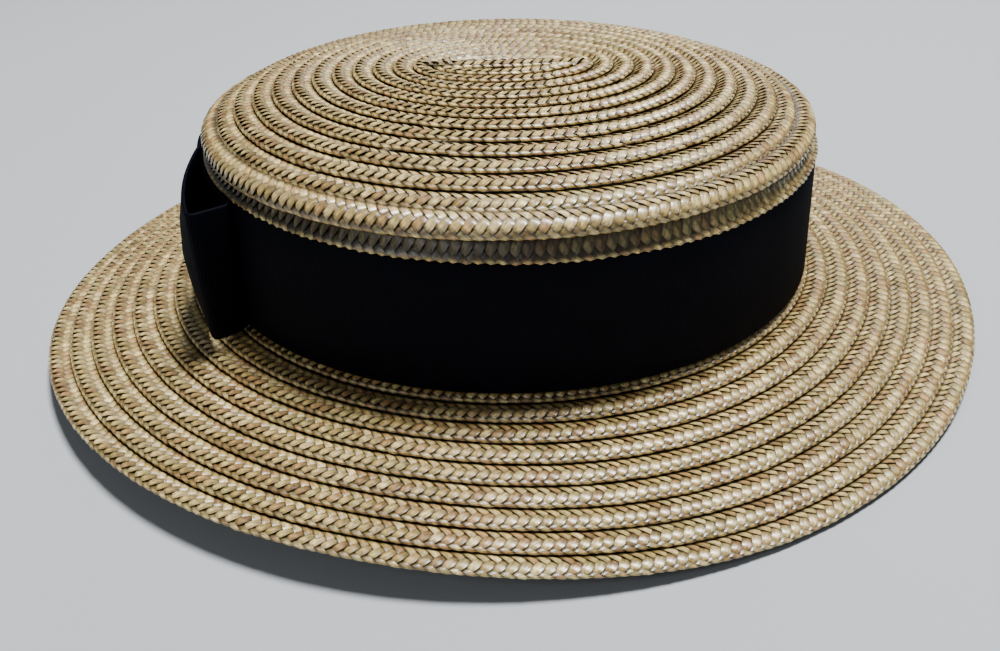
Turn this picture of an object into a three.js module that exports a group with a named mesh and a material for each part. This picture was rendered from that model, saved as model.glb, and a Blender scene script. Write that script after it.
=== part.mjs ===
// Straw boater: a crown and brim of sewn plait, a ribbon band and a flat bow.
// Millimetres, +Z up. The hat rests on its rim at z = 0, with the middle of its outline at x = y = 0.
// The bow is on the -X side.
import * as THREE from 'three';

// Crown, outside sizes
const footHalfLength = 96.4;
const footHalfBreadth = 90.7;
const tipHalfLength = 92.2;
const tipHalfBreadth = 92.8;
const sideHeight = 45.8;
const tipRise = 14.9;
const tipFlatness = 3.16;
const tipShoulder = 1.57;
const strawWall = 1.8;

// How the crown sits in the brim: its middle, and how far it sinks per millimetre along X and Y
const crownShiftX = -0.3;
const crownShiftY = -3.8;
const sideLean = { x: 0.008, y: 0.029 };
const tipLean = { x: 0.012, y: 0.051 };

// Brim
const rimHalfLength = 154.4;
const rimHalfBreadth = 141.6;
const brimRise = 20.1;
const brimWall = 2.2;
const rimEdgeWidth = 3;
const rimWaveHeight = 8.8;

// Plait
const plaitPitch = 6.55;
const rowStep = 0.9;

// Ribbon
const bandWidth = 40;
const bandGapAtFoot = 1.3;
const ribbonWall = 1;
const pieceGap = 0.3;

// Bow. A loop's outer sheet bows out a little, most at half height.
const bowChord = 104;
const bowStandOff = 12.6;
const bowFoldRadius = 2.5;
const sheetBow = 2;
const sheetSwell = 3;
const loopDepthAtKnot = 2.8;
const knotLength = 20;
const knotDepth = 2.8;
const knotEndRise = 1.5;
const knotEndShare = 0.8;

// Fineness
const ovalSides = 60;
const loopSides = 40;
const loopSeatSteps = 12;
const loopLevels = 4;
const knotSides = 20;
const brimUndersideRings = 3;
const innerTipRings = 8;
const tipSteps = 400;
const slopeReach = 0.01;
const stepShare = 0.02;

// The rim's high and low places: the turn in degrees from +X, counterclockwise from above, and the height
// as a share of rimWaveHeight. The hat rests on the three places at height 0.
const rimWave = [
  { turn: -120, height: 1 },
  { turn: -58, height: 0 },
  { turn: 5, height: 0.75 },
  { turn: 75, height: 0 },
  { turn: 108, height: 0.15 },
  { turn: 147, height: 0 },
];
const restHalfAngle = 4;

function material(color, roughness) {
  return new THREE.MeshStandardMaterial({ color, roughness, metalness: 0 });
}

const straw = material('#c49a5e', 0.55);
const ribbon = material('#17161c', 0.75);

// A closed solid from rings of points. Each ring has the same number of points, neighbouring rings are
// joined, and the last ring is joined to the first unless the ends are poles.
function solidFromRings(rings, poleFirst = null, poleLast = null) {
  const count = rings[0].length;
  const points = rings.flat();
  const faces = [];
  const closed = poleFirst === null;
  const bands = closed ? rings.length : rings.length - 1;
  for (let band = 0; band < bands; band += 1) {
    const here = band * count;
    const there = ((band + 1) % rings.length) * count;
    for (let side = 0; side < count; side += 1) {
      const next = (side + 1) % count;
      faces.push(here + side, here + next, there + next);
      faces.push(here + side, there + next, there + side);
    }
  }
  if (!closed) {
    const last = (rings.length - 1) * count;
    const first = points.push(poleFirst) - 1;
    const end = points.push(poleLast) - 1;
    for (let side = 0; side < count; side += 1) {
      const next = (side + 1) % count;
      faces.push(first, next, side);
      faces.push(last + side, last + next, end);
    }
  }
  const geometry = new THREE.BufferGeometry();
  geometry.setAttribute('position', new THREE.Float32BufferAttribute(points.flatMap((p) => p.toArray()), 3));
  geometry.setIndex(faces);
  geometry.computeVertexNormals();
  return geometry;
}

function piece(name, geometry, skin) {
  const mesh = new THREE.Mesh(geometry, skin);
  mesh.name = name;
  return mesh;
}

function mix(from, to, share) {
  return from + (to - from) * share;
}

// Where things are on the crown: its coordinates are x and y from its middle and the height over its foot
const footLevel = brimRise + brimWall / 2;
const bandTop = bandGapAtFoot + bandWidth;
const crownInset = strawWall + rowStep;

function leanShare(height) {
  return THREE.MathUtils.clamp((height - bandTop) / (sideHeight - bandTop), 0, 1);
}

function onCrown(x, y, height) {
  const share = leanShare(height);
  const sink = mix(sideLean.x, tipLean.x, share) * x + mix(sideLean.y, tipLean.y, share) * y;
  return new THREE.Vector3(crownShiftX + x, crownShiftY + y, footLevel + height - sink);
}

function turns(count = ovalSides) {
  return Array.from({ length: count }, (_, index) => (index / count) * 2 * Math.PI);
}

function crownRing(halfLength, halfBreadth, height) {
  return turns().map((turn) => onCrown(halfLength * Math.cos(turn), halfBreadth * Math.sin(turn), height));
}

// The side wall's outside at a height over the foot
function sideOval(height) {
  const share = height / sideHeight;
  return {
    halfLength: mix(footHalfLength, tipHalfLength, share),
    halfBreadth: mix(footHalfBreadth, tipHalfBreadth, share),
  };
}

function sideRing(height, out) {
  const oval = sideOval(height);
  return crownRing(oval.halfLength + out, oval.halfBreadth + out, height);
}

// The tip is a flattened dome. Its outline is walked in small steps, to place the rows evenly along it.
const tipMeanRadius = (tipHalfLength + tipHalfBreadth) / 2;

function tipRiseAt(share) {
  return tipRise * (1 - share ** tipFlatness) ** (1 / tipShoulder);
}

function walkTip() {
  const stations = [{ share: 0, run: 0 }];
  for (let step = 1; step <= tipSteps; step += 1) {
    const share = Math.sin((step / tipSteps) * (Math.PI / 2));
    const before = stations[step - 1];
    const across = (share - before.share) * tipMeanRadius;
    const down = tipRiseAt(before.share) - tipRiseAt(share);
    stations.push({ share, run: before.run + Math.hypot(across, down) });
  }
  return stations;
}

const tipStations = walkTip();
const tipRun = tipStations[tipSteps].run;

function tipShareAtRun(run) {
  const index = Math.max(1, tipStations.findIndex((station) => station.run >= run - 1e-6));
  const after = tipStations[index];
  const before = tipStations[index - 1];
  return mix(before.share, after.share, (run - before.run) / (after.run - before.run));
}

// A ring of the tip at a share of its run, moved out along the dome's own slope
function tipRing(runShare, out) {
  const share = tipShareAtRun(runShare * tipRun);
  const inner = Math.max(share - slopeReach, 0);
  const outer = Math.min(share + slopeReach, 1);
  const slope = (tipRiseAt(inner) - tipRiseAt(outer)) / ((outer - inner) * tipMeanRadius);
  const outward = (out * slope) / Math.hypot(1, slope);
  const upward = out / Math.hypot(1, slope);
  return crownRing(
    tipHalfLength * share + outward,
    tipHalfBreadth * share + outward,
    sideHeight + tipRiseAt(share) + upward,
  );
}

function makeCrown() {
  const tipRows = Math.round(tipRun / plaitPitch);
  const innerPole = onCrown(0, 0, sideHeight + tipRise - crownInset);
  const outerPole = onCrown(0, 0, sideHeight + tipRise);
  const rings = [];
  for (let ring = 1; ring <= innerTipRings; ring += 1) {
    rings.push(tipRing(ring / innerTipRings, -crownInset));
  }
  rings.push(sideRing(bandTop, -crownInset));
  rings.push(sideRing(pieceGap, -crownInset));
  rings.push(sideRing(pieceGap, 0));
  rings.push(sideRing(bandTop + pieceGap, 0));
  rings.push(sideRing(bandTop + pieceGap, rowStep));
  for (let row = tipRows; row >= 1; row -= 1) {
    rings.push(tipRing(row / tipRows, row === tipRows ? rowStep / 2 : -rowStep));
    rings.push(tipRing((row - stepShare) / tipRows, 0));
  }
  return piece('crown', solidFromRings(rings, innerPole, outerPole), straw);
}

// Height of the rim's underside at a turn, with a short level stretch at each high and low place
function rimHeight(turn) {
  const degrees = THREE.MathUtils.radToDeg(turn);
  const last = rimWave.length - 1;
  for (let index = 0; index <= last; index += 1) {
    const from = rimWave[index];
    const to = rimWave[(index + 1) % rimWave.length];
    const span = THREE.MathUtils.euclideanModulo(to.turn - from.turn, 360);
    const past = THREE.MathUtils.euclideanModulo(degrees - from.turn, 360);
    if (past <= span) {
      const share = THREE.MathUtils.clamp((past - restHalfAngle) / (span - 2 * restHalfAngle), 0, 1);
      const ease = (1 - Math.cos(Math.PI * share)) / 2;
      return rimWaveHeight * mix(from.height, to.height, ease);
    }
  }
  return 0;
}

function makeBrim() {
  const innerLength = footHalfLength - crownInset;
  const innerBreadth = footHalfBreadth - crownInset;
  const width = (rimHalfLength + rimHalfBreadth - footHalfLength - footHalfBreadth) / 2;
  const rows = Math.round(width / plaitPitch);

  function foot(turn, halfLength, halfBreadth, lift) {
    return onCrown(halfLength * Math.cos(turn), halfBreadth * Math.sin(turn), lift);
  }
  function rim(turn, inset, lift) {
    return new THREE.Vector3(
      (rimHalfLength - inset) * Math.cos(turn),
      (rimHalfBreadth - inset) * Math.sin(turn),
      rimHeight(turn) + lift,
    );
  }
  // A ring between the crown's foot at share 0 and the rim's edge at share 1
  function ring(share, footLift, rimLift, rimInset = 0) {
    return turns().map((turn) => {
      const start = foot(turn, footHalfLength, footHalfBreadth, footLift);
      return start.lerp(rim(turn, rimInset, rimLift), share);
    });
  }

  const rings = [turns().map((turn) => foot(turn, innerLength, innerBreadth, -brimWall))];
  for (let step = 0; step <= brimUndersideRings; step += 1) {
    rings.push(ring(step / brimUndersideRings, -brimWall, 0, rimEdgeWidth));
  }
  rings.push(ring(1, 0, 0));
  for (let row = rows; row >= 1; row -= 1) {
    rings.push(ring(row / rows, 0, brimWall));
    rings.push(ring((row - 1 + stepShare) / rows, -rowStep, brimWall - rowStep));
  }
  rings.push(ring(0, 0, brimWall));
  rings.push(turns().map((turn) => foot(turn, innerLength, innerBreadth, 0)));
  return piece('brim', solidFromRings(rings), straw);
}

// A standing ribbon that closes on itself: rings up its outside, then down its inside
function ribbonRing(outlineAt, levels) {
  const half = ribbonWall / 2;
  const place = (height, out) => outlineAt(height, out).map(([x, y]) => onCrown(x, y, height));
  const heights = Array.from({ length: levels + 1 }, (_, level) => mix(bandGapAtFoot, bandTop, level / levels));
  const outside = heights.map((height) => place(height, half));
  const inside = heights.map((height) => place(height, -half)).reverse();
  return solidFromRings([...outside, ...inside]);
}

// The band's middle line at a height, moved out from the crown
function bandOutline(height, out) {
  const oval = sideOval(height);
  const off = pieceGap + ribbonWall / 2 + out;
  return turns().map((turn) => [
    (oval.halfLength + off) * Math.cos(turn),
    (oval.halfBreadth + off) * Math.sin(turn),
  ]);
}

function makeBand() {
  return piece('band', ribbonRing(bandOutline, 1), ribbon);
}

// A point beside the band: at a distance along the bow from its middle, a height and a distance off the
// band's outer face
function besideBand(along, height, off) {
  const oval = sideOval(height);
  const face = pieceGap + ribbonWall;
  const halfLength = oval.halfLength + face;
  const halfBreadth = oval.halfBreadth + face;
  const turn = Math.asin(along / halfBreadth);
  const normal = new THREE.Vector2(-Math.cos(turn) / halfLength, Math.sin(turn) / halfBreadth).normalize();
  const point = new THREE.Vector2(-halfLength * Math.cos(turn), halfBreadth * Math.sin(turn));
  return point.addScaledVector(normal, off);
}

// A loop's middle line: out from the knot, round the fold, and back along the band. Side -1 is the near loop.
function loopOutline(side) {
  return (height, out) => {
    const half = ribbonWall / 2;
    const start = knotLength / 2 + pieceGap + ribbonWall;
    const end = bowChord / 2;
    const middle = (bandGapAtFoot + bandTop) / 2;
    const onBand = (along) => besideBand(along, height, pieceGap + half);
    const near = besideBand(start, height, loopDepthAtKnot - half);
    const corner = besideBand(end, middle, bowStandOff - half);
    const levelShare = (height - bandGapAtFoot) / bandWidth;
    const bulge = sheetBow + sheetSwell * Math.sin(Math.PI * levelShare);
    const chord = corner.clone().sub(near);
    const sheetMiddle = near.clone().addScaledVector(chord, 1 / 2);
    sheetMiddle.add(new THREE.Vector2(-chord.y, chord.x).setLength(2 * bulge));
    const foldStart = corner.clone().lerp(sheetMiddle, bowFoldRadius / corner.distanceTo(sheetMiddle));
    const foldEnd = corner.clone().lerp(onBand(end), bowFoldRadius / corner.distanceTo(onBand(end)));
    const seatStart = onBand(end).lerp(corner, bowFoldRadius / corner.distanceTo(onBand(end)));
    const path = new THREE.Path();
    path.moveTo(near.x, near.y);
    path.quadraticCurveTo(sheetMiddle.x, sheetMiddle.y, foldStart.x, foldStart.y);
    path.quadraticCurveTo(corner.x, corner.y, foldEnd.x, foldEnd.y);
    path.lineTo(seatStart.x, seatStart.y);
    const seatEnd = onBand(end - bowFoldRadius);
    path.quadraticCurveTo(onBand(end).x, onBand(end).y, seatEnd.x, seatEnd.y);
    for (let step = 1; step <= loopSeatSteps; step += 1) {
      const seat = onBand(mix(end - bowFoldRadius, start, step / loopSeatSteps));
      path.lineTo(seat.x, seat.y);
    }
    path.lineTo(near.x, near.y);
    const line = path.getSpacedPoints(loopSides).slice(0, loopSides);
    const offset = line.map((point, index) => {
      const before = line[(index + loopSides - 1) % loopSides];
      const after = line[(index + 1) % loopSides];
      const along = after.clone().sub(before).normalize();
      return [point.x - along.y * out, side * (point.y + along.x * out)];
    });
    return side > 0 ? offset.reverse() : offset;
  };
}

function makeLoop(name, side) {
  return piece(name, ribbonRing(loopOutline(side), loopLevels), ribbon);
}

// The knot is a short upright roll with an oval section, against the band between the loops
function makeKnot() {
  function ring(height, share) {
    const inner = besideBand(0, height, pieceGap).x;
    return turns(knotSides).map((turn) => {
      const x = inner - knotDepth / 2 + (share * knotDepth * Math.cos(turn)) / 2;
      const y = (share * knotLength * Math.sin(turn)) / 2;
      return onCrown(x, y, height);
    });
  }
  function pole(height) {
    return onCrown(besideBand(0, height, pieceGap + knotDepth / 2).x, 0, height);
  }
  const rings = [
    ring(bandGapAtFoot, knotEndShare),
    ring(bandGapAtFoot + knotEndRise, 1),
    ring(bandTop - knotEndRise, 1),
    ring(bandTop, knotEndShare),
  ];
  return piece('bow_knot', solidFromRings(rings, pole(bandGapAtFoot), pole(bandTop)), ribbon);
}

const boater = new THREE.Group();
boater.name = 'straw_boater';
boater.add(makeCrown());
boater.add(makeBrim());
boater.add(makeBand());
boater.add(makeLoop('bow_loop_near', -1));
boater.add(makeLoop('bow_loop_far', 1));
boater.add(makeKnot());

export default boater;
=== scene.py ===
# Straw boater: sewn plait, ribbon band and flat bow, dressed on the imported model. Sizes are in
# millimetres until the meshes are made, which are in metres.
import math

import bpy
import numpy as np
from mathutils import Matrix, Vector


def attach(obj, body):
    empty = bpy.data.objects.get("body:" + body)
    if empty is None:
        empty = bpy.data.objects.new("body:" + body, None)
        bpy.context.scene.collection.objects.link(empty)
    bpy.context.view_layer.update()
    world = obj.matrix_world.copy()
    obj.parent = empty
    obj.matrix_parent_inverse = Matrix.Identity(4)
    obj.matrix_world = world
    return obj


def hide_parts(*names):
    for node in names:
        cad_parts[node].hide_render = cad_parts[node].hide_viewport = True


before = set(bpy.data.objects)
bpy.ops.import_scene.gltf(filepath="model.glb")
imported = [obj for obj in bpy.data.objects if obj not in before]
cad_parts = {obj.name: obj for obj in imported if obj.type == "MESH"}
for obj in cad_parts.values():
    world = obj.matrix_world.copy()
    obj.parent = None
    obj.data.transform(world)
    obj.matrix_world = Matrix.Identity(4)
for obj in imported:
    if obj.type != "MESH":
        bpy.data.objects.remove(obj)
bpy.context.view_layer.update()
MM = 0.001
FULL_TURN = 2 * math.pi
rng = np.random.default_rng(7)

# Crown, outside sizes. Leans are its slope to the right and to the back, for each unit of length.
FOOT_HALF_LENGTH = 96.4
FOOT_HALF_BREADTH = 90.7
TIP_HALF_LENGTH = 92.2
TIP_HALF_BREADTH = 92.8
SIDE_HEIGHT = 45.8
TIP_RISE = 14.9
TIP_FLATNESS = 3.16
TIP_SHOULDER = 1.57
CROWN_SHIFT = (-0.3, -3.8)
SIDE_LEAN = (0.008, 0.029)
TIP_LEAN = (0.012, 0.051)
SIDE_PITCH = 6.55

# The plait's straight start, in the middle of the tip
START_HALF_LENGTH = 15.0
START_HALF_BREADTH = 3.9
START_SINK = 0.05
START_REACH = 19.5

# Brim. The wave gives directions in degrees, and the rim's height there as a share of the highest.
RIM_HALF_LENGTH = 154.4
RIM_HALF_BREADTH = 141.6
BRIM_RISE = 20.1
BRIM_WALL = 2.2
RIM_WAVE_HEIGHT = 8.8
RIM_WAVE = [(-120, 1.0), (-58, 0.0), (5, 0.75), (75, 0.0), (108, 0.15), (147, 0.0)]
REST_HALF_ANGLE = 4.0
FOOT_LEVEL = BRIM_RISE + BRIM_WALL / 2
BRIM_RUN = 54.7
BRIM_PITCH = 6.55
BRIM_ROWS = 9
BRIM_SHIFT_SHARE = 0.12
TUCK = 2.5

# Ribbon. The rows are places across it, as shares of its width.
BAND_WIDTH = 40.0
BAND_GAP_AT_FOOT = 1.3
BAND_TOP = BAND_GAP_AT_FOOT + BAND_WIDTH
RIBBON_WALL = 1.0
PIECE_GAP = 0.3
BOW_CHORD = 104.0
BOW_STAND_OFF = 12.6
BOW_FOLD_RADIUS = 2.5
SHEET_BOW = 2.0
SHEET_SWELL = 3.0
LOOP_DEPTH_AT_KNOT = 2.8
KNOT_LENGTH = 20.0
KNOT_DEPTH = 2.8
KNOT_END_RISE = 1.5
KNOT_END_SHARE = 0.8
RIB_PITCH = 0.75
RIB_DEPTH = 0.09
RIB_SAMPLES = 4
RIBBON_ROWS = [0.0, 0.015, 0.25, 0.5, 0.75, 0.985, 1.0]
RIBBON_EDGE = 0.55
CURVE_STEPS = 12
OVAL_STEPS = 720
KNOT_SIDES = 48

# Plait: seven flat straws, over two and under two. Crossings are counted from the outer edge inward,
# from the fold at 0 to the fold at 7, and lie closer together at the outer edge, where the plait rolls
# under. The places give a crossing and how far in it lies. The sewing shears the plait along the row.
STRAW_PERIOD = 2.9
CROSSING_PLACES = [(-1, -0.6), (0, 0), (1.5, 1.1), (3.5, 4.2), (5.5, 7.2), (7, 8.8), (8, 9.9)]
PLAIT_SHEAR = 0.12
STRAW_WIDTH = 1.03
STRAW_TILT = 0.14
STRAW_LIFT = 0.32
STRAW_CROWN = 0.14
FOLD_BULGE = 0.22
EDGE_DROP = 0.2
EDGE_SHARE = 0.16
# How far from the outer fold, as a share of the row, the painted shadow fades in
FOLD_SHARE = 0.1
PLACE_JITTER = 0.05
LIFT_JITTER = 0.03
TILT_JITTER = 0.04
LINE_SAMPLES = 20000
ACROSS = np.array([-0.5, 0.0, 0.5])

# Rows: a base is how high a row lies, an arch how far its middle stands up, and a step how far its inner
# side dips to go under the next row. Both spirals begin at the back.
TIP_ROWS = 13
PLAIT_BEGIN = -0.75 * FULL_TURN
TIP_END = (TIP_ROWS - 0.4) * FULL_TURN
TIP_SPLIT = 4.5 * FULL_TURN
BRIM_END = PLAIT_BEGIN + BRIM_ROWS * FULL_TURN
BRIM_SPLIT = PLAIT_BEGIN + 3.5 * FULL_TURN
ROW_ARCH = 0.95
TIP_BASE = -0.55
TIP_STEP = 1.45
EDGE_FLARE = 1.5
END_TUCK = 3
END_TURN = 0.5
START_BASE = -0.3
START_STEP = 0.5
OVER_BAND_BASE = 1.6
OVER_BAND_STEP = 4
OVER_BAND_ARCH = -1.2
SIDE_BASE = -1
SIDE_STEP = 0.9
SIDE_FOOT_GAP = 0.4
BRIM_BASE = -0.4
BRIM_STEP = 1.6

# Painted light and shade, as shares of a straw's own tint, then the straws' own tints and grain
# Painted shade on a straw's side toward the outer edge, and on its other side
PAINTED_SIDE_SHADES = (0.4, 0.65)
# Painted shade where the next row covers a straw, and where it starts and fades in
PAINTED_SHADE_UNDER_ROW = 0.2
HIDDEN_FROM = 0.78
HIDDEN_FADE = 0.2
# Painted shadow on the row over the band, and the side where it is lit
OVER_BAND_PAINTED_SHADOW = 0.25
LIT_SIDE = math.radians(20)
LIT_REACH = 0.5
TINT_SPREAD = 0.14
GRAIN_LENGTH = 8
GRAIN_SPREAD = 50
STRAW_TINTS = np.array([
    (0.42, 0.30, 0.115),
    (0.52, 0.39, 0.17),
    (0.34, 0.24, 0.08),
    (0.42, 0.33, 0.125),
    (0.31, 0.19, 0.07),
])


def ease(share):
    share = np.clip(share, 0, 1)
    return share * share * (3 - 2 * share)


def running_length(line):
    steps = np.linalg.norm(np.diff(line, axis=0), axis=1)
    return np.concatenate([[0], np.cumsum(steps)])


# Where things are. Crown coordinates are x and y from its middle and the height over its foot.
def on_crown(x, y, height):
    share = np.clip((height - BAND_TOP) / (SIDE_HEIGHT - BAND_TOP), 0, 1)
    lean_x = SIDE_LEAN[0] + (TIP_LEAN[0] - SIDE_LEAN[0]) * share
    lean_y = SIDE_LEAN[1] + (TIP_LEAN[1] - SIDE_LEAN[1]) * share
    level = FOOT_LEVEL + height - lean_x * x - lean_y * y
    return np.stack([CROWN_SHIFT[0] + x, CROWN_SHIFT[1] + y, level], -1)


def side_oval(height):
    share = height / SIDE_HEIGHT
    length = FOOT_HALF_LENGTH + (TIP_HALF_LENGTH - FOOT_HALF_LENGTH) * share
    breadth = FOOT_HALF_BREADTH + (TIP_HALF_BREADTH - FOOT_HALF_BREADTH) * share
    return length, breadth


def tip_rise(share):
    return TIP_RISE * (1 - share**TIP_FLATNESS) ** (1 / TIP_SHOULDER)


# The tip's outline walked in small steps. A run is the distance along it from the plait's start.
TIP_SAMPLES = 2000
TIP_SHARES = np.sin(np.linspace(0, math.pi / 2, TIP_SAMPLES))
TIP_GROWTH = (TIP_HALF_LENGTH - START_HALF_LENGTH + TIP_HALF_BREADTH - START_HALF_BREADTH) / 2
TIP_RUNS = running_length(np.stack([TIP_SHARES * TIP_GROWTH, tip_rise(TIP_SHARES)], -1))
TIP_RUN = TIP_RUNS[-1]
TIP_PITCH = TIP_RUN / TIP_ROWS


def crown_surface(run, turn):
    share = np.interp(run, TIP_RUNS, TIP_SHARES)
    below = np.maximum(run - TIP_RUN, 0)
    inside = np.minimum(run, 0)
    shrink = np.exp(inside / START_HALF_BREADTH)
    height = SIDE_HEIGHT + tip_rise(share) - below + inside * START_SINK
    tip_length = START_HALF_LENGTH + (TIP_HALF_LENGTH - START_HALF_LENGTH) * share
    tip_breadth = START_HALF_BREADTH + (TIP_HALF_BREADTH - START_HALF_BREADTH) * share
    side_length, side_breadth = side_oval(height)
    length = np.where(below > 0, side_length, tip_length * shrink)
    breadth = np.where(below > 0, side_breadth, tip_breadth * shrink)
    return on_crown(length * np.cos(turn), breadth * np.sin(turn), height)


def start_surface(run, along):
    return on_crown(along, -run, np.full_like(run, SIDE_HEIGHT + TIP_RISE))


def rim_height(turn):
    degrees = np.degrees(turn)
    height = np.zeros_like(turn)
    for index, (start, low) in enumerate(RIM_WAVE):
        end, high = RIM_WAVE[(index + 1) % len(RIM_WAVE)]
        span = (end - start) % 360
        past = (degrees - start) % 360
        share = np.clip((past - REST_HALF_ANGLE) / (span - 2 * REST_HALF_ANGLE), 0, 1)
        level = low + (high - low) * (1 - np.cos(np.pi * share)) / 2
        height = np.where(past <= span, level, height)
    return RIM_WAVE_HEIGHT * height


def brim_surface(run, turn):
    tucked = np.where(run < 0, -TUCK * (1 - np.exp(np.minimum(run, 0) / TUCK)), run)
    share = (tucked / BRIM_RUN)[..., None]
    foot_x = FOOT_HALF_LENGTH * np.cos(turn)
    foot_y = FOOT_HALF_BREADTH * np.sin(turn)
    foot = on_crown(foot_x, foot_y, np.zeros_like(turn))
    rim_x = RIM_HALF_LENGTH * np.cos(turn)
    rim_y = RIM_HALF_BREADTH * np.sin(turn)
    rim = np.stack([rim_x, rim_y, rim_height(turn) + BRIM_WALL], -1)
    return foot + (rim - foot) * share


def lifted(surface, run, turn, lift):
    """Points at a distance over a surface, along its own slope."""
    reach = 0.4
    turn_reach = 0.004
    tiny = 1e-12
    place = surface(run, turn)
    outward = surface(run + reach, turn) - surface(run - reach, turn)
    around = surface(run, turn + turn_reach) - surface(run, turn - turn_reach)
    normal = np.cross(outward, around)
    normal /= np.linalg.norm(normal, axis=-1, keepdims=True) + tiny
    return place + normal * lift[..., None]


# One straw of the plait, from the inner fold out over and under to the outer fold and back: the
# crossing that it is at, its level (1 over, -1 under), its shade (painted light and shade as a share of
# its tint: painted highlights at the outer fold and on parts of the tiles, painted shade where it dips
# under), how far its end is cut along the crossing straw, and its heading.
STRAW_STATIONS = [
    (7.00, 0.00, 0.4, 0.0, -1),
    (6.50, -0.90, 0.3, 0.6, -1),
    (5.72, -1.00, 0.3, 1.0, -1),
    (5.36, 0.75, 0.7, 1.0, -1),
    (4.95, 1.15, 1.1, 1.0, -1),
    (4.30, 1.25, 1.5, 1.0, -1),
    (3.72, 0.75, 1.4, 1.0, -1),
    (3.38, -1.00, 0.3, 1.0, -1),
    (1.62, -1.00, 0.3, 1.0, -1),
    (1.32, 0.20, 0.4, 1.0, -1),
    (0.85, 0.90, 0.6, 1.0, -1),
    (0.30, 0.85, 1.7, 0.4, -1),
    (0.00, 0.30, 1.7, 0.0, 1),
    (0.15, -0.60, 0.3, 0.3, 1),
    (0.60, -0.95, 0.3, 0.8, 1),
    (1.34, -1.00, 0.3, 1.0, 1),
    (1.66, 0.70, 1.3, 1.0, 1),
    (2.10, 1.20, 1.6, 1.0, 1),
    (2.80, 1.20, 0.9, 1.0, 1),
    (3.30, 0.70, 0.6, 1.0, 1),
    (3.62, -1.00, 0.3, 1.0, 1),
    (5.34, -1.00, 0.3, 1.0, 1),
    (5.70, 0.80, 0.8, 1.0, 1),
    (7.00, 0.00, 0.6, 0.0, 1),
]


def crossing_place(crossing):
    """How far in from the outer edge a crossing lies."""
    return np.interp(crossing, *np.transpose(CROSSING_PLACES))


def straw_starts(surface, turns, edge, pitch):
    """The turn where each straw starts, and the length of plait to one unit of turn there."""
    line = np.linspace(turns[0], turns[1], LINE_SAMPLES)
    length = running_length(surface(edge(line) - pitch / 2, line))
    count = round(length[-1] / STRAW_PERIOD)
    at = (np.arange(count) + 0.5) / count * length[-1]
    start = np.interp(at, length, line)
    speed = np.interp(at, length, np.gradient(length, line))
    return start[:, None, None], speed[:, None, None]


def painted_side_shade(shade, outward):
    """Painted shade on a straw's sides: palest along its ridge, and darkest along the side that faces
    the outer edge.
    """
    outer, inner = PAINTED_SIDE_SHADES
    side = inner + (outer - inner) * (outward + 1) / 2
    return np.where(outward == 0, shade, shade * side)


def plait(name, surface, turns, edge, pitch, step, base, arch=ROW_ARCH, painted_shadow=np.ones_like):
    """A plait laid along a spiral: edge gives the run of its outer edge at each turn."""
    start, speed = straw_starts(surface, turns, edge, pitch)
    each = (len(start), 1, 1)
    # shade is each station's painted light and shade
    crossing, level, shade, cut, heading = np.array(STRAW_STATIONS).T[:, None, :, None]
    width = STRAW_WIDTH * ACROSS
    ridge = ACROSS == 0
    x = heading * crossing * STRAW_PERIOD / 2 + width * STRAW_PERIOD * (1 - cut / 2)
    y = -crossing_place(crossing - width * heading * cut)
    x = x + PLAIT_SHEAR * y
    y = y + ridge * FOLD_BULGE * (crossing == 0)
    x = x + rng.normal(0, PLACE_JITTER, each)
    y = y + rng.normal(0, PLACE_JITTER, each)
    turn = start + x / speed
    row = y / pitch
    lift = base(start) + row * step + arch * (1 - (2 * row + 1) ** 2)
    lift = lift - EDGE_DROP * np.clip(1 + row / EDGE_SHARE, 0, 2) ** 2
    lift = lift + STRAW_LIFT * level + ridge * STRAW_CROWN
    lift = lift + rng.normal(0, LIFT_JITTER, each)
    outward = heading * ACROSS * 2
    lift = lift + (STRAW_TILT + rng.normal(0, TILT_JITTER, each)) * outward
    # Painted shade along each straw's sides
    shade = painted_side_shade(shade, outward)
    # Painted shadow, which fades out toward the outer fold, so the fold stays bright
    shade = shade * (painted_shadow(turn) + (1 - painted_shadow(turn)) * ease(1 + row / FOLD_SHARE))
    points = lifted(surface, edge(turn) + y, turn, lift)
    return straw_mesh(name, points, row, shade)


def straw_mesh(name, points, row, shade):
    """Each straw as a closed strip of three sides: its ridge is smooth, and its two edges are sharp."""
    count, stations, around = points.shape[:3]
    index = np.arange(count * stations * around).reshape(count, stations, around)
    here = index[:, :-1]
    there = index[:, 1:]
    quads = np.stack([here, np.roll(here, -1, 2), np.roll(there, -1, 2), there], -1).reshape(-1, 4)
    first = index[:, 0][:, ::-1]
    last = index[:, -1]
    faces = quads.tolist() + first.tolist() + last.tolist()
    mesh = bpy.data.meshes.new(name)
    mesh.from_pydata((points.reshape(-1, 3) * MM).tolist(), [], faces)
    paint_straws(mesh, row, shade)
    mesh.shade_smooth()
    edges = np.empty(len(mesh.edges) * 2, dtype=np.int64)
    mesh.edges.foreach_get("vertices", edges)
    side = edges.reshape(-1, 2) % around
    ridge = around // 2
    lengthwise = side[:, 0] == side[:, 1]
    sharp = mesh.attributes.new("sharp_edge", "BOOLEAN", "EDGE")
    sharp.data.foreach_set("value", lengthwise & (side[:, 0] != ridge))
    piece = bpy.data.objects.new(name, mesh)
    bpy.context.collection.objects.link(piece)
    mesh.materials.append(STRAW)
    return piece


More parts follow.
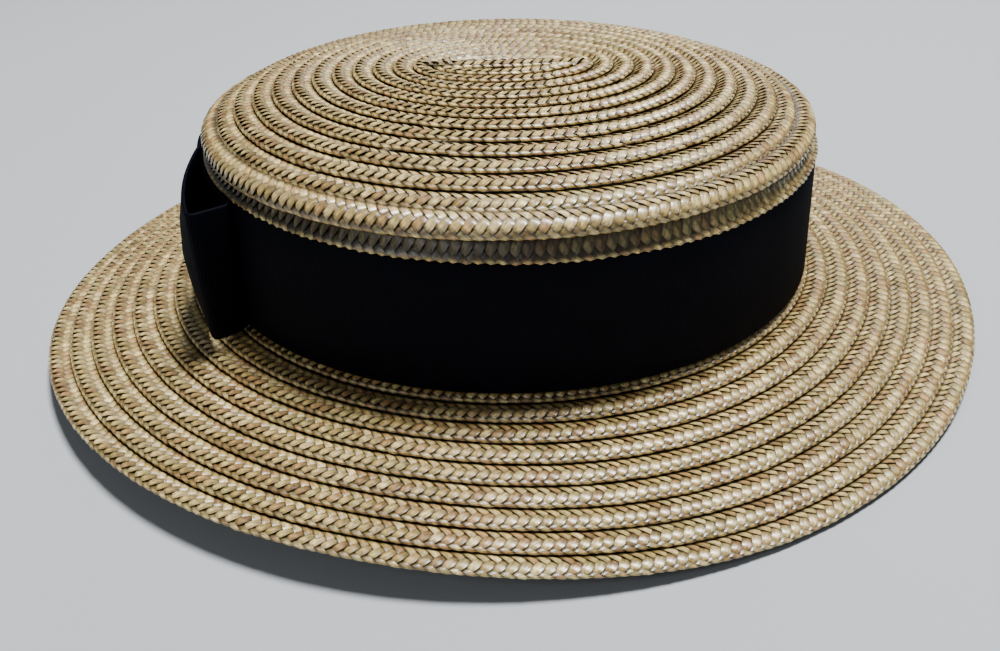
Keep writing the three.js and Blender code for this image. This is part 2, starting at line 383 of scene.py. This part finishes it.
def paint_straws(mesh, row, shade):
    """Each straw has its own tint, times its painted light and shade: painted shade where it dips and
    where the next row covers it.
    """
    count, stations, around = row.shape
    tint = STRAW_TINTS[rng.integers(0, len(STRAW_TINTS), count)]
    tint = tint * rng.normal(1, TINT_SPREAD, (count, 1))
    # Painted shade where the next row covers the straw
    shade = shade * (1 - (1 - PAINTED_SHADE_UNDER_ROW) * ease((-row - HIDDEN_FROM) / HIDDEN_FADE))
    colour = np.ones((count, stations, around, 4))
    colour[..., :3] = np.clip(tint[:, None, None] * shade[..., None], 0, 1)
    # The tint layer holds each straw's tint times its painted light and shade
    layer = mesh.color_attributes.new("tint", "FLOAT_COLOR", "POINT")
    layer.data.foreach_set("color", colour.ravel())
    offset = rng.uniform(0, GRAIN_SPREAD, (count, 1, 1, 2))
    place = np.zeros((count, stations, around, 2))
    place[..., 0] = ACROSS
    place[..., 1] = np.linspace(0, GRAIN_LENGTH, stations)[None, :, None]
    place = (place + offset).reshape(-1, 2)
    corners = np.empty(len(mesh.loops), dtype=np.int64)
    mesh.loops.foreach_get("vertex_index", corners)
    fibres = mesh.uv_layers.new(name="fibres")
    fibres.data.foreach_set("uv", place[corners].ravel())


# Looks
def add_node(tree, kind, **values):
    made = tree.nodes.new(kind)
    for key, value in values.items():
        setattr(made, key, value)
    return made


def set_inputs(made, values):
    for socket, value in values.items():
        made.inputs[socket].default_value = value


def new_material(name):
    material = bpy.data.materials.new(name)
    material.use_nodes = True
    return material, material.node_tree, material.node_tree.nodes["Principled BSDF"]


def make_straw():
    """Straw: the tint of each, with its painted light and shade, and long fibres that darken and raise
    it.
    """
    material, tree, shader = new_material("straw_plait")
    tint = add_node(tree, "ShaderNodeVertexColor", layer_name="tint")
    fibres = add_node(tree, "ShaderNodeUVMap", uv_map="fibres")
    stretch = add_node(tree, "ShaderNodeMapping")
    set_inputs(stretch, {"Scale": (2.4, 1.5, 1)})
    grain = add_node(tree, "ShaderNodeTexNoise")
    set_inputs(grain, {"Scale": 1.6, "Detail": 3})
    shade = add_node(tree, "ShaderNodeMapRange")
    set_inputs(shade, {"From Min": 0.3, "From Max": 0.7, "To Min": 0.45, "To Max": 1.5})
    blend = add_node(tree, "ShaderNodeMix", data_type="RGBA", blend_type="MULTIPLY")
    set_inputs(blend, {"Factor": 1})
    bump = add_node(tree, "ShaderNodeBump")
    set_inputs(bump, {"Strength": 0.8, "Distance": 0.00015})
    tree.links.new(fibres.outputs["UV"], stretch.inputs["Vector"])
    tree.links.new(stretch.outputs["Vector"], grain.inputs["Vector"])
    tree.links.new(grain.outputs["Fac"], shade.inputs["Value"])
    tree.links.new(tint.outputs["Color"], blend.inputs["A"])
    tree.links.new(shade.outputs["Result"], blend.inputs["B"])
    tree.links.new(blend.outputs["Result"], shader.inputs["Base Color"])
    tree.links.new(grain.outputs["Fac"], bump.inputs["Height"])
    tree.links.new(bump.outputs["Normal"], shader.inputs["Normal"])
    set_inputs(shader, {"Roughness": 0.38, "Specular IOR Level": 0.8})
    set_inputs(shader, {"Coat Weight": 0.4, "Coat Roughness": 0.22})
    return material


def make_ribbon():
    """Ribbon: a matt blue black, a little uneven. Its ribs are in the mesh."""
    material, tree, shader = new_material("ribbon_black")
    place = add_node(tree, "ShaderNodeTexCoord")
    cloud = add_node(tree, "ShaderNodeTexNoise")
    set_inputs(cloud, {"Scale": 90, "Detail": 4})
    ramp = add_node(tree, "ShaderNodeValToRGB")
    ramp.color_ramp.elements[0].color = (0.0008, 0.0009, 0.0026, 1)
    ramp.color_ramp.elements[1].color = (0.0024, 0.0027, 0.0072, 1)
    tree.links.new(place.outputs["Object"], cloud.inputs["Vector"])
    tree.links.new(cloud.outputs["Fac"], ramp.inputs["Fac"])
    tree.links.new(ramp.outputs["Color"], shader.inputs["Base Color"])
    set_inputs(shader, {"Roughness": 0.6, "Specular IOR Level": 0.04})
    return material


STRAW = make_straw()
RIBBON = make_ribbon()


# The plait of the crown: the spiral of the tip, its straight start, the row over the band, and the side
def tip_edge(turn):
    """The spiral meets the tip's outline at the front, and goes in by one row each time round."""
    front = -math.pi / 2
    return TIP_RUN - TIP_PITCH * (turn - front) / FULL_TURN


def tip_base(turn):
    """The outermost row stands out over the row below it, and its end is tucked in."""
    tucked = END_TUCK * (1 - ease((turn - PLAIT_BEGIN) / END_TURN))
    return TIP_BASE + EDGE_FLARE * (1 - ease(turn / math.pi)) - tucked


def start_edge(along):
    return np.full_like(along, START_HALF_BREADTH)


def over_band_edge(turn):
    return np.full_like(turn, TIP_RUN + SIDE_HEIGHT - BAND_TOP - PIECE_GAP)


def over_band_painted_shadow(turn):
    """Painted shadow on the row over the band, which lies under the overhang of the row above: darkest
    on the side away from its lit one.
    """
    return OVER_BAND_PAINTED_SHADOW + (1 - OVER_BAND_PAINTED_SHADOW) * ease(np.cos(turn - LIT_SIDE) + LIT_REACH)


def side_edge(turn):
    """The side's spiral climbs from the foot."""
    return TIP_RUN + SIDE_HEIGHT - SIDE_FOOT_GAP - SIDE_PITCH * turn / FULL_TURN


def level_base(lift):
    return lambda turn: np.full_like(turn, lift)


def tip_part(name, turns):
    return plait(name, crown_surface, turns, tip_edge, TIP_PITCH, TIP_STEP, tip_base)


def plait_crown():
    side_turns = (SIDE_HEIGHT / SIDE_PITCH - 1) * FULL_TURN
    return [
        tip_part("tip_plait_outer", (PLAIT_BEGIN, TIP_SPLIT)),
        tip_part("tip_plait_inner", (TIP_SPLIT, TIP_END)),
        plait("tip_plait_start", start_surface, (-START_REACH, START_REACH), start_edge, TIP_PITCH,
              START_STEP, level_base(START_BASE)),
        plait("row_over_band", crown_surface, (0, FULL_TURN), over_band_edge, TIP_PITCH,
              OVER_BAND_STEP, level_base(OVER_BAND_BASE), OVER_BAND_ARCH, over_band_painted_shadow),
        plait("side_plait", crown_surface, (0, side_turns), side_edge, SIDE_PITCH,
              SIDE_STEP, level_base(SIDE_BASE)),
    ]


# The brim's rows lie along the rim, and step in by one row at the back
def brim_edge(turn):
    rounds = (turn - PLAIT_BEGIN) / FULL_TURN
    whole = np.floor(rounds)
    part = rounds - whole
    shift = 0.5 * ease((part - 1 + BRIM_SHIFT_SHARE) / BRIM_SHIFT_SHARE)
    shift = shift - 0.5 * (1 - ease(part / BRIM_SHIFT_SHARE))
    return BRIM_RUN - BRIM_PITCH * np.maximum(whole + shift, 0)


def brim_part(name, turns):
    return plait(name, brim_surface, turns, brim_edge, BRIM_PITCH, BRIM_STEP, level_base(BRIM_BASE))


def plait_brim():
    lead_in = BRIM_SHIFT_SHARE * FULL_TURN
    return [
        brim_part("brim_plait_outer", (PLAIT_BEGIN - lead_in, BRIM_SPLIT)),
        brim_part("brim_plait_inner", (BRIM_SPLIT, BRIM_END)),
    ]


# The ribbon's walls are thin and close on themselves, with a fine rib across the ribbon
def ribbon_mesh(name, rings, capped):
    """Rings of points as one closed skin. Rings that aren't capped join the last to the first."""
    count = rings.shape[1]
    index = np.arange(len(rings) * count).reshape(len(rings), count)
    above = index[1:] if capped else np.roll(index, -1, 0)
    here = index[:-1] if capped else index
    quads = np.stack([here, np.roll(here, -1, 1), np.roll(above, -1, 1), above], -1)
    faces = quads.reshape(-1, 4).tolist()
    if capped:
        faces += [index[0][::-1].tolist(), index[-1].tolist()]
    mesh = bpy.data.meshes.new(name)
    mesh.from_pydata((rings.reshape(-1, 3) * MM).tolist(), [], faces)
    mesh.shade_smooth()
    mesh.materials.append(RIBBON)
    piece = bpy.data.objects.new(name, mesh)
    bpy.context.collection.objects.link(piece)
    return piece


def resample(outer, middle, swell):
    """Evenly spaced points on a closed line, moved toward its outer copy by a distance."""
    middle = np.vstack([middle, middle[:1]])
    outer = np.vstack([outer, outer[:1]])
    length = running_length(middle)
    at = np.arange(len(swell)) / len(swell) * length[-1]
    place = np.stack([np.interp(at, length, middle[:, axis]) for axis in (0, 1)], -1)
    away = np.stack([np.interp(at, length, outer[:, axis]) for axis in (0, 1)], -1) - place
    away /= np.linalg.norm(away, axis=1, keepdims=True)
    return place + away * swell[:, None]


def ribbon_wall(name, outline):
    """A standing ribbon. outline gives its middle line at a height and how far to move it out."""
    foot_line = outline(BAND_GAP_AT_FOOT, 0.0)
    length = np.linalg.norm(foot_line - np.roll(foot_line, -1, 0), axis=1).sum()
    count = round(length / RIB_PITCH) * RIB_SAMPLES
    ribs = RIB_DEPTH * np.cos(np.arange(count) / RIB_SAMPLES * FULL_TURN)
    rings = []
    for side in (1, -1):
        for share in RIBBON_ROWS[::side]:
            half = RIBBON_WALL / 2 * (RIBBON_EDGE if share in (0, 1) else 1)
            height = BAND_GAP_AT_FOOT + BAND_WIDTH * share
            line = resample(outline(height, 1.0), outline(height, 0.0), side * (half + ribs))
            rings.append(on_crown(line[:, 0], line[:, 1], np.full(count, height)))
    return ribbon_mesh(name, np.array(rings), False)


def band_outline(height, out):
    length, breadth = side_oval(height)
    off = PIECE_GAP + RIBBON_WALL / 2 + out
    turn = np.linspace(0, FULL_TURN, OVAL_STEPS, endpoint=False)
    return np.stack([(length + off) * np.cos(turn), (breadth + off) * np.sin(turn)], -1)


def beside_band(along, height, off):
    """Points at a distance along the bow from its middle, and a distance off the band's outer face."""
    length, breadth = side_oval(height)
    length = length + PIECE_GAP + RIBBON_WALL
    breadth = breadth + PIECE_GAP + RIBBON_WALL
    turn = np.arcsin(along / breadth)
    normal = np.stack([-np.cos(turn) / length, np.sin(turn) / breadth], -1)
    normal = normal / np.linalg.norm(normal, axis=-1, keepdims=True)
    return np.stack([-length * np.cos(turn), breadth * np.sin(turn)], -1) + normal * off


def bend(start, corner, end):
    """A smooth curve from start to just before end, pulled to the corner."""
    share = np.linspace(0, 1, CURVE_STEPS, endpoint=False)[:, None]
    return start * (1 - share)**2 + corner * 2 * share * (1 - share) + end * share**2


def toward(start, end, distance):
    """The point at a distance from start on the way to end."""
    return start + (end - start) * distance / np.linalg.norm(end - start)


def loop_outline(side):
    """A loop's middle line: out from the knot, round the fold and back along the band. The near loop's
    side is -1, the far one's is 1."""
    def outline(height, out):
        half = RIBBON_WALL / 2
        inner_end = KNOT_LENGTH / 2 + PIECE_GAP + RIBBON_WALL
        outer_end = BOW_CHORD / 2
        near = beside_band(inner_end, height, LOOP_DEPTH_AT_KNOT - half)
        corner = beside_band(outer_end, (BAND_GAP_AT_FOOT + BAND_TOP) / 2, BOW_STAND_OFF - half)
        seat = beside_band(outer_end, height, PIECE_GAP + half)
        bulge = SHEET_BOW + SHEET_SWELL * math.sin(math.pi * (height - BAND_GAP_AT_FOOT) / BAND_WIDTH)
        chord = corner - near
        across = np.array([-chord[1], chord[0]]) / np.linalg.norm(chord)
        sheet_middle = near + chord / 2 + across * 2 * bulge
        fold_start = toward(corner, sheet_middle, BOW_FOLD_RADIUS)
        fold_end = toward(corner, seat, BOW_FOLD_RADIUS)
        seat_start = toward(seat, corner, BOW_FOLD_RADIUS)
        seated = np.linspace(outer_end - BOW_FOLD_RADIUS, inner_end, CURVE_STEPS)
        back = beside_band(seated, height, PIECE_GAP + half)
        front = [bend(near, sheet_middle, fold_start), bend(fold_start, corner, fold_end)]
        line = np.vstack(front + [bend(seat_start, seat, back[0]), back])
        along = np.roll(line, -1, 0) - np.roll(line, 1, 0)
        along /= np.linalg.norm(along, axis=1, keepdims=True)
        line = line + np.stack([-along[:, 1], along[:, 0]], -1) * out
        line = line * (1, side)
        return line[::-1] if side > 0 else line
    return outline


def make_knot():
    """The knot as a filled roll with rounded ends, ribbed round its length."""
    count = round(BAND_WIDTH / RIB_PITCH) * RIB_SAMPLES + 1
    turn = np.arange(KNOT_SIDES) / KNOT_SIDES * FULL_TURN
    rings = []
    for number, height in enumerate(np.linspace(BAND_GAP_AT_FOOT, BAND_TOP, count)):
        end = min(height - BAND_GAP_AT_FOOT, BAND_TOP - height) / KNOT_END_RISE
        share = KNOT_END_SHARE + (1 - KNOT_END_SHARE) * math.sqrt(ease(end))
        rib = RIB_DEPTH * math.cos(number / RIB_SAMPLES * FULL_TURN)
        middle = beside_band(0.0, height, PIECE_GAP)[0] - KNOT_DEPTH / 2
        x = middle + (share * KNOT_DEPTH / 2 + rib) * np.cos(turn)
        y = (share * KNOT_LENGTH / 2 + rib) * np.sin(turn)
        rings.append(on_crown(x, y, np.full(KNOT_SIDES, height)))
    return ribbon_mesh("knot_roll", np.array(rings), True)


# Floor, light and camera. A light has a place, a size, a power and a colour.
LIGHTS = {
    "key": ((0.28, 0.12, 1.6), 0.4, 58, (1.0, 0.98, 0.95)),
    "back": ((0.4, 1.3, 0.9), 0.5, 3, (1.0, 0.97, 0.97)),
    "fill": ((-0.9, -0.9, 1.0), 0.6, 3, (1.0, 0.98, 0.95)),
}
CAMERA_YAW = math.radians(3.85)
CAMERA_ELEVATION = math.radians(34.34)
CAMERA_ROLL = math.radians(-1.24)
CAMERA_DISTANCE = 342.6
CAMERA_TARGET = Vector((-4.6, -3.8, -15.9))
CAMERA_LENS = 33.76
SENSOR_WIDTH = 36
CLIP_START = 0.01


def make_stage():
    mesh = bpy.data.meshes.new("floor")
    reach = 3.0
    corners = [(-reach, -reach, 0), (reach, -reach, 0), (reach, reach, 0), (-reach, reach, 0)]
    mesh.from_pydata(corners, [], [(0, 1, 2, 3)])
    floor = bpy.data.objects.new("floor", mesh)
    bpy.context.collection.objects.link(floor)
    material, _, shader = new_material("pale_floor")
    set_inputs(shader, {"Base Color": (0.42, 0.45, 0.48, 1), "Roughness": 0.9})
    mesh.materials.append(material)


def area_light(name, place, size, power, colour):
    data = bpy.data.lights.new(name, "AREA")
    data.shape = "DISK"
    data.size = size
    data.energy = power
    data.color = colour
    light = bpy.data.objects.new(name, data)
    light.location = place
    light.rotation_euler = (-Vector(place)).to_track_quat("-Z", "Y").to_euler()
    bpy.context.collection.objects.link(light)


def make_lights():
    for name, values in LIGHTS.items():
        area_light(name, *values)
    world = bpy.data.worlds.new("studio")
    world.use_nodes = True
    set_inputs(world.node_tree.nodes["Background"], {"Color": (0.80, 0.88, 1.0, 1), "Strength": 0.12})
    bpy.context.scene.world = world


def make_camera():
    data = bpy.data.cameras.new("camera")
    data.sensor_width = SENSOR_WIDTH
    data.lens = CAMERA_LENS
    data.clip_start = CLIP_START
    camera = bpy.data.objects.new("camera", data)
    heading = Vector((math.sin(CAMERA_YAW), math.cos(CAMERA_YAW), 0))
    ahead = heading * math.cos(CAMERA_ELEVATION) - Vector((0, 0, math.sin(CAMERA_ELEVATION)))
    right = Vector((math.cos(CAMERA_YAW), -math.sin(CAMERA_YAW), 0))
    up = right.cross(ahead)
    tilted_right = math.cos(CAMERA_ROLL) * right + math.sin(CAMERA_ROLL) * up
    tilted_up = math.cos(CAMERA_ROLL) * up - math.sin(CAMERA_ROLL) * right
    turn = Matrix((tilted_right, tilted_up, -ahead)).transposed()
    place = (CAMERA_TARGET - ahead * CAMERA_DISTANCE) * MM
    camera.matrix_world = Matrix.Translation(place) @ turn.to_4x4()
    bpy.context.collection.objects.link(camera)
    bpy.context.scene.camera = camera


# Making
crown_pieces = plait_crown()
brim_pieces = plait_brim()
for piece in crown_pieces + brim_pieces:
    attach(piece, "root")
    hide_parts("crown" if piece in crown_pieces else "brim")

ribbon_pieces = {
    "band": ribbon_wall("ribbon_band", band_outline),
    "bow_loop_near": ribbon_wall("loop_near", loop_outline(-1)),
    "bow_loop_far": ribbon_wall("loop_far", loop_outline(1)),
    "bow_knot": make_knot(),
}
for name, piece in ribbon_pieces.items():
    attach(piece, "root")
    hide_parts(name)

make_stage()
make_lights()
make_camera()
